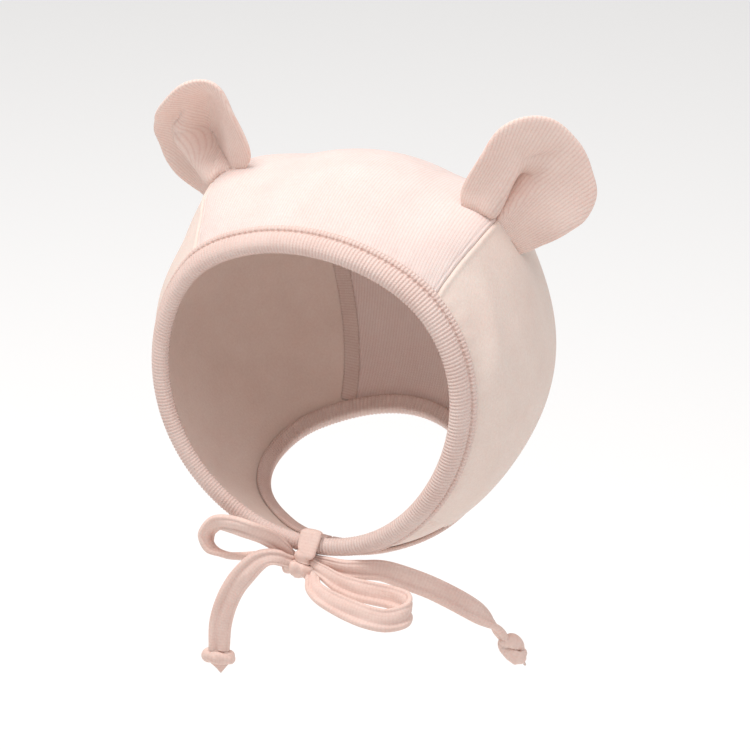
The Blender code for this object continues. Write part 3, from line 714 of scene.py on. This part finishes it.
def cheek_panel(name, side, columns, rows):
    """A side panel of brushed jersey between the seam, the face, the chin and the neck."""
    t = np.linspace(0, 1, columns + 1)
    t = t + CHEEK_CROWDING * (np.sin(np.pi / 2 * t) - t)
    seam = seam_line(rows, SEAM_CLOSED)
    seam_ring = face_angles(seam[0])[1]
    seam_heading = neck_angles(seam[-1])[1]
    s = np.linspace(0, 1, rows + 1)
    inset = np.degrees((HOLLOW + EDGE_CLEAR) / SHELL)
    ring = CHIN_RING + (seam_ring - CHIN_RING) * t
    heading = CHIN_HEADING + (seam_heading - CHIN_HEADING) * t
    face = from_face(face_edge(ring) + inset, ring)
    neck = from_neck(neck_edge(heading) + inset, heading)
    chin = unit(face[0] + (neck[0] - face[0]) * s[:, None])
    face[-1], neck[-1] = seam[0], seam[-1]
    face, neck, chin, seam = (to_side_map(edge) for edge in (face, neck, chin, seam))
    s, t = s[:, None, None], t[None, :, None]
    flat = (1 - s) * face + s * neck + (1 - t) * chin[:, None] + t * seam[:, None]
    flat = flat - (1 - s) * ((1 - t) * face[0] + t * face[-1]) - s * ((1 - t) * neck[0] + t * neck[-1])
    way = from_side_map(flat)
    latitude, turn = crown_angles(way)
    beside = np.clip(np.radians(latitude - smooth(turn, SEAM, 1)) * SHELL, 0, None)
    way[..., 0] *= side
    rise = folds(way) + puckers(way) + bumps(beside, CHEEK_SEAM)
    hidden = blend(hide(way))
    outer, inner = on_shell(way, rise * hidden), on_shell(way, -CLOTH - LINING_DROP * hidden)
    across = arc(outer.swapaxes(0, 1)).swapaxes(0, 1)
    return add_cloth(name, outer, inner, across, arc(outer), BRUSHED)


def ribbed_binding(name, ends, length, to_way, edge, band, outside):
    """A folded strip of rib: its section is swept along an edge and each rib stands out of it.

    ends are the angles along the edge at which it starts and ends.
    """
    steps = int(STEPS_A_RIB * length / RIB_PITCH)
    angle = np.linspace(*ends, steps + 1)[:, None]
    angle = np.where(angle > 180, angle - 360, angle)
    section = np.array(ribbed_section(band, outside))
    loop = np.concatenate((section[-1:], section, section[:2]))
    line = np.array([between(*loop[k : k + 4], u / 3) for k in range(len(section)) for u in range(3)])
    lead = np.roll(line, -1, axis=0) - np.roll(line, 1, axis=0)
    normal = unit(np.stack((lead[:, 1], -lead[:, 0]), axis=1))
    middle = line[:, :2].mean(axis=0)
    if ((line[:, :2] - middle) * normal).sum() < 0:
        normal = -normal
    along = np.linspace(0, length, steps + 1)
    rib_height, roundness, level = RIB_RELIEF
    ribs = np.abs(np.cos(np.pi * along / RIB_PITCH)) ** roundness - level
    pulls = 0.5 + 0.5 * np.cos(2 * np.pi * along / STITCH_PITCH)
    depth, stitched, width = STITCH_RELIEF
    stitch = bump(line[:, 0] / band - stitched, width) * (line[:, 1] > -CLOTH / 2) * (line[:, 2] > 0)
    amount = rib_height * line[:, 2] * (1 - 0.6 * stitch) * ribs[:, None] - depth * stitch * pulls[:, None]
    distance = line[:, 0] + normal[:, 0] * amount
    height = line[:, 1] + normal[:, 1] * amount
    way = to_way(edge(angle) + np.degrees(distance / SHELL), angle + 0 * distance)
    rings = on_shell(way, height)
    round_it = arc(np.concatenate((line[:, :2], line[:1, :2])))
    across = np.broadcast_to(along[:, None], (steps + 1, len(line) + 1))
    return tube(name, rings, across, np.broadcast_to(round_it, across.shape), RIB)


def seam_allowance(name, side, steps, columns=8):
    """The overlocked edges of two panels, pressed flat inside along their seam, binding to binding."""
    one = np.ones(1)
    half, waver, stitch = ALLOWANCE
    start = meeting(one, *FACE_TURNS, lambda way: beside_face(way) < 0.9 * FACE_BAND + 0.5)[0]
    end = meeting(one, *NAPE_TURNS, lambda way: beside_neck(way) > 0.9 * NECK_BAND + 0.5)[0]
    turn = np.linspace(start, end, steps + 1)[:, None]
    stitches = np.radians(turn) * SHELL * np.pi / stitch
    offset = np.linspace(-1, 1, columns + 1) * (half + waver * np.sin(2 * stitches))
    way = over_crown(smooth(turn, SEAM, 1) + np.degrees(offset / SHELL), turn)
    way[..., 0] *= side
    part = np.linspace(-1, 1, columns + 1)
    roll = 0.30 * (1 - np.abs(part) ** 4) + 0.10 * np.abs(np.sin(stitches))
    near = on_shell(way, -CLOTH - 0.15 + 0 * roll)
    far = on_shell(way, -CLOTH - 0.35 - roll)
    across = np.broadcast_to(np.radians(turn) * SHELL, offset.shape)
    return add_cloth(name, near, far, across, offset, RIB)


def face_rib():
    """The face binding, from one side of the chin over the forehead to the other."""
    length = 2 * np.radians(CHIN_RING) * np.sin(np.radians(FACE_EDGE[0])) * SHELL
    ends = (-CHIN_RING, CHIN_RING)
    return ribbed_binding("face_rib", ends, length, from_face, face_edge, FACE_BAND, FACE_OUTSIDE)


def neck_rib():
    """The neck binding, from the chin round the nape."""
    length = 2 * np.pi * np.sin(np.radians(NECK_MEAN)) * SHELL
    ends = (CHIN_HEADING, 360 - CHIN_HEADING)
    return ribbed_binding("neck_rib", ends, length, from_neck, neck_edge, NECK_BAND, NECK_OUTSIDE)


def ribbed_section(band, outside):
    """The solids' section as rows: distance from the fold, height over the cloth, share of the rib depth."""
    rows = folded_section(band, outside)
    rows[0] = (band, 0.08)
    rows[-4] = (0.9 * band, -CLOTH - 0.2)
    shares = [0.0] + [1.0] * (len(rows) - 5) + [0.0] * 4
    return [(*row, share) for row, share in zip(rows, shares)]


def ear_axes(side, lean, turn):
    """An ear's root over the head's middle, then its directions outward, up and to its front."""
    latitude, lean, back, turn = np.radians((EAR_LATITUDE, lean, EAR_BACK, turn))
    middle = np.array((side * np.sin(latitude), 0.0, np.cos(latitude)))
    outward = np.array((side * np.cos(latitude), 0.0, -np.sin(latitude)))
    up = np.array((side * np.sin(lean) * np.cos(back), np.sin(back), np.cos(lean) * np.cos(back)))
    front = unit(np.cross(outward, up)) * side
    cosine, sine = np.cos(turn), np.sin(turn)
    outward, front = outward * cosine - front * sine, front * cosine + outward * sine
    root = middle * shell(middle) + np.array((0.0, -EAR_DEPTH, 0.0))
    return root, outward, up, front


def ear_pleat(across, up, pocket):
    """How far each point of an ear sinks behind its plain curve, beside the ridge of the pleat.

    The ridge starts at the base and ends in a soft hood, with a shallow dip over it.
    """
    toward, start, swing, over, wall, floor, rise, hood, soft, depth, height, tilt = pocket
    x = toward * (across - start - swing * np.tanh(up / over))
    near = np.clip(up / hood, 0, 1.5)
    above = up - hood - tilt * np.clip(x, 0, 0.4)
    flank = blend((x + wall / 2) / wall)
    rising = 0.7 * (1 - blend((x - floor * near) / (rise * (0.15 + near)))) + 0.3 * (1 - blend(x / 0.85))
    under_hood = 1 - blend(above / soft)
    from_base = 0.55 + 0.45 * blend(up / 0.16)
    ridge = bump(x + 0.06 + wall / 2, 0.14) * blend(up / 0.12) * (1 - blend((up - hood + 0.1) / 0.35))
    crest, dip = (
        share * bump(above - over_top, high) * bump(x - aside, wide)
        for over_top, high, aside, wide, share in (HOOD_CREST, HOOD_DIP)
    )
    ridge = 1 - (1 - ridge) * (1 - crest)
    to_rim = np.hypot(across - EAR_MIDDLE[0], up - EAR_MIDDLE[1])
    inside_rim = 1 - blend((to_rim - 0.60) / 0.24) * blend((up - 0.2) / 0.4)
    return depth * inside_rim * (flank * rising * under_hood * from_base - height * ridge + dip)


def ear_sheet(row, across, up):
    """The middle of an ear: places for distances across and up its flat pattern, as shares of its reach."""
    name, side, lean, turn, curl_across, curl_start, curl_up = row
    root, outward, upward, front = ear_axes(side, lean, turn)
    free = blend(up / EAR_FREE)
    turned = across / curl_across
    wide = across * (1 - free) + curl_across * np.sin(turned) * free
    forward = curl_across * (1 - np.cos(turned)) * free
    forward = forward - 0.1 * (across / 0.65) ** 2 * (1 - free)
    bent = np.clip(up - curl_start, 0, None) / curl_up
    high = np.minimum(up, curl_start) + curl_up * np.sin(bent)
    forward = forward + curl_up * (1 - np.cos(bent))
    forward = forward - ear_pleat(across, up, POCKETS[name])
    flat = root + EAR_REACH * (wide[..., None] * outward + forward[..., None] * front)
    sink = np.linalg.norm(flat, axis=-1) - shell(unit(flat)) - EAR_SEAT
    flat = flat - unit(flat) * (sink * (1 - blend(up / EAR_SETTLED)))[..., None]
    return flat + EAR_REACH * high[..., None] * upward


def knit_ear(row, spokes, rings):
    """Two layers of ribbed knit sewn round the rim and turned, so the rim is a soft roll."""
    at_root = spokes // BASE_SHARE
    angle = np.linspace(EAR_OUTLINE[0][0], EAR_OUTLINE[-1][0], spokes - at_root)
    reach = smooth(angle, EAR_OUTLINE, 1) + bumps(angle, RIM_SHIFTS[row[0]])
    middle = np.array(EAR_MIDDLE)
    edge = middle + reach[:, None] * np.stack((np.sin(np.radians(angle)), np.cos(np.radians(angle))), 1)
    edge[0, 1] = edge[-1, 1] = 0.0
    base = np.linspace(edge[-1], edge[0], at_root + 2)[1:-1]
    edge = np.concatenate((edge, base))
    part = np.sin(np.pi / 2 * np.linspace(0, 1, rings + 1))[:, None, None] ** 0.9
    flat = middle + part * (edge - middle)
    share = np.broadcast_to(part[..., 0], flat.shape[:2])
    half = EAR_WALL / 2 * np.sqrt(np.clip(1 - share**RIM_ROLL, 0, 1))
    at_base = blend(1 - flat[..., 1] / 0.12)
    half = half * (1 - 0.35 * at_base)
    step = 0.01
    across, up = flat[..., 0], flat[..., 1]
    here = ear_sheet(row, across, up)
    right = ear_sheet(row, across + step, up) - here
    above = ear_sheet(row, across, up + step) - here
    normal = unit(np.cross(right, above)) * row[1]
    layers = []
    for sign in (1, -1):
        place = here + normal * (sign * half)[..., None]
        under = np.linalg.norm(place, axis=-1) - shell(unit(place)) - EAR_SEAT
        seat = np.where(up < 0.04, under, np.minimum(under, 0.0))
        layers.append(place - unit(place) * seat[..., None] + CENTRE)
    front, back = layers
    body = np.concatenate((front, back[-2::-1]))
    body = np.concatenate((body, body[:, :1]), axis=1)
    aside = across - 0.1 * row[1]
    lines = EAR_REACH * 2.0 * np.arctan2(aside, up + EAR_FAN)
    loops = EAR_REACH * np.hypot(aside, up + EAR_FAN)
    across, along = (np.concatenate((k, k[-2::-1])) for k in (lines, loops))
    across, along = (np.concatenate((k, k[:, :1]), axis=1) for k in (across, along))
    name = row[0].replace("ear", "knit_ear")
    # the ears take the deeper, pinker copy of the rib, which is painted shade
    return add_cloth(name, body, None, across, along, SHADED_EAR_RIB, closed=True)


def into_knot(rows, length):
    """The tie's table with one more row before it, this much further on inside a knot."""
    rows = np.array(rows)
    more = rows[0].copy()
    more[:3] += length * unit(rows[0, :3] - rows[1, :3])
    return np.concatenate((more[None], rows))


def tie(name, rows, steps):
    """A flat tie, folded lengthwise: a crease off the middle, a stitched edge, soft twists from its table."""
    rows = into_knot(rows, INTO_KNOT)
    rows = into_knot(rows[::-1], INTO_KNOT if name.startswith("tape_loop") else INTO_END)[::-1]
    line = course(rows, steps)
    place = line[:, :3] + KNOT
    ahead = unit(np.gradient(place, axis=0))
    wide = unit(line[:, 3:6] - ahead * (line[:, 3:6] * ahead).sum(axis=1, keepdims=True))
    thick = np.cross(ahead, wide)
    width = line[:, 6:7] * TIE_WIDTH
    angle = np.linspace(0, 2 * np.pi, TIE_POINTS, endpoint=False)
    x, y = squared(np.cos(angle), 0.7) / 2, squared(np.sin(angle), 0.55) / 2
    y = y * (1 + bumps(x, TIE_CREASES))
    along = arc(place)
    gather = 1 + 0.3 * (1 - line[:, 6:7])
    ripple = 0.05 * np.sin(along[:, None] / 3.1 + 9 * x) * TIE_THICK
    rings = place[:, None] + wide[:, None] * (width * x)[..., None]
    rings = rings + thick[:, None] * (TIE_THICK * gather * y + ripple)[..., None]
    around = np.concatenate((x, x[:1])) * TIE_WIDTH
    across = np.broadcast_to(along[:, None], (steps + 1, TIE_POINTS + 1))
    return tube(name, rings, across, np.broadcast_to(around, across.shape), TAPE), place


def knot_wrap(steps, count=48):
    """The bow's knot: a strap of the tie over the binding, which swells where it is drawn round the bow."""
    line = course(KNOT_COURSE, steps)
    share = np.linspace(0, 1, steps + 1)
    polar = np.radians(face_edge(180.0) + np.maximum(line[:, 0], -1.5) + bumps(share, KNOT_TURN))
    under, over = CLOTH + BAND_CLEAR + BAND_WALL, CHIN_LIFT - SOFT_RISE
    reach = SHELL + SOFT_RISE + line[:, 1] * under + line[:, 2] * over + line[:, 3] * KNOT_SEAT
    reach = reach + bumps(share, KNOT_LIFT)
    place = CENTRE + np.stack((0 * polar, -reach * np.cos(polar), -reach * np.sin(polar)), axis=1)
    ahead = unit(np.gradient(place, axis=0))
    across = np.array((1.0, 0.0, 0.0))
    outward = np.cross(ahead, across)
    angle = np.linspace(0, 2 * np.pi, count, endpoint=False)
    part = share[:, None]
    x = squared(np.cos(angle), 0.8) * np.ones_like(part)
    y = squared(np.sin(angle), 0.8) * np.ones_like(part)
    creases = 0.0 * part
    for start, slope, depth, width in KNOT_CREASES:
        creases = creases + depth * bump(part - start - slope * x, width)
    swell = 1 - creases * blend(part * 4 - 1)
    waist = 1 + bumps(part, KNOT_WAIST)
    bulge = 1 + bumps(part, KNOT_BULGE)
    pleated = blend((part - 0.52) / 0.1) * (1 - 0.5 * blend(part * 6 - 5))
    pleats = 0.18 * np.cos(2.7 * np.pi * x + 0.8) * pleated
    shift, change, start, over = KNOT_SWAY
    wide = line[:, 4:5] * TIE_WIDTH * x * (1 - 0.5 * creases) * waist
    wide = wide + shift + change * blend((part - start) / over)
    deep = line[:, 5:6] * KNOT_SEAT * y * (swell + pleats) * bulge
    rings = place[:, None] + across * wide[..., None] + outward[:, None] * deep[..., None]
    along = np.broadcast_to(arc(place)[:, None], (steps + 1, count + 1))
    around = np.concatenate((x, x[:, :1]), axis=1) * TIE_WIDTH / 2
    return tube("knot_wrap", rings, along, around, TAPE)


def end_knot(row, turns):
    """A small knot pulled tight: a strand rolled across the tie or crossed in two lobes, and its cut end."""
    name, tail, shares, lobes = row
    wide, deep, long = (share * TIE_WIDTH for share in shares)
    tail = np.array(tail)
    end = tail[-1, :3]
    along = unit(end - tail[-2, :3])
    middle = KNOT + end + along * (long + 1.5 * GAP)
    across = unit(tail[-1, 3:6] - along * (tail[-1, 3:6] @ along))
    through = np.cross(along, across)
    t = np.linspace(0, 2 * np.pi, turns + 1)
    if lobes == 3:
        x = np.sin(t) + 0.12 * np.sin(2 * t)
        y = 0.35 * np.cos(t - 0.7)
        z = 0.55 * np.cos(t)
    else:
        x = 0.7 * np.sin(2 * t) - 0.3
        y = np.cos(t)
        z = np.sin(t)
    strand = 0.5 * min(wide, long, deep)
    spots = middle + across * (x * (wide - 1.15 * strand))[:, None]
    spots = spots + along * (y * (long - 1.15 * strand))[:, None]
    spots = spots + through * (z * (deep - strand))[:, None]
    ahead = unit(np.gradient(spots, axis=0))
    ahead[0] = ahead[-1] = unit(spots[1] - spots[-2])
    out = unit(spots - middle)
    out = unit(out - ahead * (out * ahead).sum(axis=1, keepdims=True))
    side = np.cross(ahead, out)
    angle = np.linspace(0, 2 * np.pi, 24, endpoint=False)
    crease = 1 - 0.16 * (0.5 + 0.5 * np.cos(3 * angle + 5 * t[:, None])) ** 2
    rings = spots[:, None] + 1.15 * strand * out[:, None] * (np.sin(angle) * crease)[..., None]
    rings = rings + 1.5 * strand * side[:, None] * (np.cos(angle) * crease)[..., None]
    length = np.broadcast_to(arc(spots)[:, None], (turns + 1, 25))
    around = np.broadcast_to(np.append(angle, 2 * np.pi) * strand, length.shape)
    knot = tube(name.replace("tail_knot", "pulled_knot"), rings, length, around, TAPE)
    return knot, cut_end(name, middle + along * 0.2 * long, along, across, CUT_ENDS[name])


def cut_end(name, start, along, across, shape):
    """The short end of a tie that sticks out under its knot, cut at a slant."""
    length, half, slant = shape
    part = np.linspace(0, 1, 33)[:, None]
    angle = np.linspace(0, 2 * np.pi, 33)
    x, y = squared(np.cos(angle), 0.7), np.sin(angle)
    through = np.cross(along, across)
    narrow = 1 - 0.85 * part + 0 * x
    down = length * part + 0.18 * length * x * part + 0 * x
    aside = half * narrow * x + slant * part**1.5
    out = TIE_THICK / 3 * y * (1 - 0.4 * part) + 0.5 * bump(x, 0.4) * (1 - part)
    rings = start + down[..., None] * along + aside[..., None] * across + out[..., None] * through
    around = np.broadcast_to(angle * half / 2, down.shape)
    name = name.replace("tail_knot", "cut_end")
    return add_cloth(name, rings, None, down, around, TAPE, closed=True)


camera()

# 1x1 cotton rib of the bindings: soft light ridges, with painted shade, a deeper pink, in the grooves between
#                                 them
RIB = cotton("cotton_rib_binding", "#E9D6CE", "#CDA89C", RIB_PITCH, (0.02, 0.03, 0.05), (0.35, 0.5, 0.5))
# the same yarn in fine rib on the crown, its ridges close and shallow, with painted shade in their grooves
RIBBED = cotton("fine_rib_jersey", "#EDDFD9", "#DBBEB5", WALE_PITCH, (0.07, 0.02, 0.05), (0.38, 0.5, 0.5))
# the same rib on the ears' two layers in a deeper, pinker copy: painted shade and light bounced inside the
# ears' folds
SHADED_EAR_RIB = cotton("double_rib_jersey_painted_shade", "#F4E0D6", "#DCB6AA", WALE_PITCH, (0.07, 0.02, 0.05), (0.38, 0.5, 0.5))
# jersey with a brushed face: no ridges to see, a short soft pile
BRUSHED = cotton("brushed_cotton_jersey", "#EFE0D6", "#DABFB3", 1.2, (0.0, 0.01, 0.10), (0.0, 0.6, 0.6))
# the ties' rib tape, pressed flat, so its ribs barely show, with a little painted shade in their grooves
TAPE = cotton("cotton_rib_tape", "#EFD9CF", "#D0A89B", RIB_PITCH, (0.02, 0.015, 0.05), (0.12, 0.5, 0.5))

ties = {}
for name, rows in (
    ("loop_left", LOOP_LEFT),
    ("loop_right", LOOP_RIGHT),
    ("tail_left", TAIL_LEFT),
    ("tail_right", TAIL_RIGHT),
):
    ties[name] = tie("tape_" + name, rows, 168)
end_knots = {row[0]: end_knot(row, 160) for row in END_KNOTS}
for name, (piece, path) in ties.items():
    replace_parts(piece, name)
    carried = []
    if name.startswith("tail"):
        carried = list(end_knots["tail_knot" + name[4:]])
        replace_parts(carried[0], "tail_knot" + name[4:])

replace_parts(crown_panel(130, 220), "centre_panel")
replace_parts(cheek_panel("cheek_left", 1, 120, 200), "side_panel_left")
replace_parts(cheek_panel("cheek_right", -1, 120, 200), "side_panel_right")
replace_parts(face_rib(), "face_binding")
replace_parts(neck_rib(), "neck_binding")
for row in EARS:
    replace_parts(knit_ear(row, 220, 72), row[0])
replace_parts(knot_wrap(120), "bow_knot")
seam_allowance("seam_left", 1, 480)
seam_allowance("seam_right", -1, 480)


def studio():
    """A pale floor well below, two soft lights from above and an even room."""
    body = bmesh.new()
    bmesh.ops.create_grid(body, x_segments=1, y_segments=1, size=FLOOR_SIZE)
    bmesh.ops.translate(body, verts=body.verts, vec=(0.0, 0.0, FLOOR * MM))
    mesh = bpy.data.meshes.new("floor")
    body.to_mesh(mesh)
    body.free()
    floor = bpy.data.objects.new("floor", mesh)
    bpy.context.collection.objects.link(floor)
    paper = bpy.data.materials.new("matt_white_paper")
    paper.use_nodes = True
    shader = paper.node_tree.nodes["Principled BSDF"]
    shader.inputs["Base Color"].default_value = linear("#FBFAF9")
    shader.inputs["Roughness"].default_value = 0.9
    shader.inputs["Emission Color"].default_value = linear("#FFFFFF")
    shader.inputs["Emission Strength"].default_value = PAPER_GLOW
    mesh.materials.append(paper)
    for name, place, size, watts, tint in LIGHTS:
        lamp = bpy.data.lights.new(name, "AREA")
        lamp.shape = "DISK"
        lamp.size = size
        lamp.energy = watts
        lamp.color = linear(tint)[:3]
        light = bpy.data.objects.new(name, lamp)
        light.location = place
        aim = Vector(CENTRE * MM) - light.location
        light.rotation_euler = aim.to_track_quat("-Z", "Y").to_euler()
        bpy.context.collection.objects.link(light)
    room = bpy.data.worlds.new("room")
    bpy.context.scene.world = room
    room.use_nodes = True
    glow = room.node_tree.nodes["Background"]
    glow.inputs["Color"].default_value = linear("#FFFFFF")
    glow.inputs["Strength"].default_value = ROOM
    bpy.context.scene.view_settings.view_transform = "Standard"


studio()
